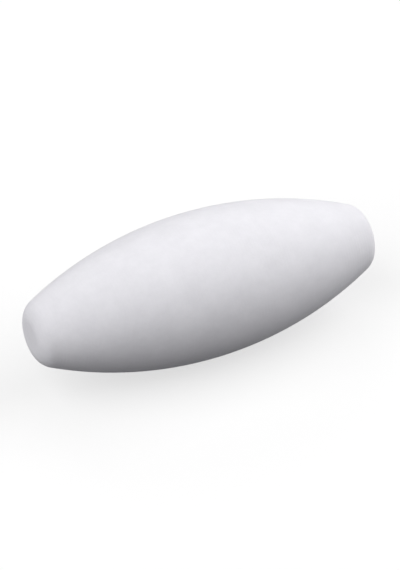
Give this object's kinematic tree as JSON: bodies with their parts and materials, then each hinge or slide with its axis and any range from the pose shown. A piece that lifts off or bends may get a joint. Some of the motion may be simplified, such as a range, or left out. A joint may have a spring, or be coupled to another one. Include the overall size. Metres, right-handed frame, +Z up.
{
  "type": "magnetic stir bar",
  "caption": "Oval stir bar: a rod magnet sealed in a smooth white fluoropolymer jacket with blunt round ends, spun in a vessel of liquid by a rotating magnet below it.",
  "frame": {"origin": "the lowest point of the belly, midway between the ends, where the bar touches the vessel's floor", "axes": "+X along the bar's long axis, +Z up from the vessel's floor"},
  "size_m": [0.025, 0.01, 0.01],
  "materials": {
    "fluoropolymer_white": "turned and polished smooth, satin, faintly waxy",
    "magnet_alloy": "cast alloy, ground to size, dull grey"
  },
  "bodies": {
    "root": {"jacket": "fluoropolymer_white", "magnet_core": "magnet_alloy"}
  },
  "joints": []
}
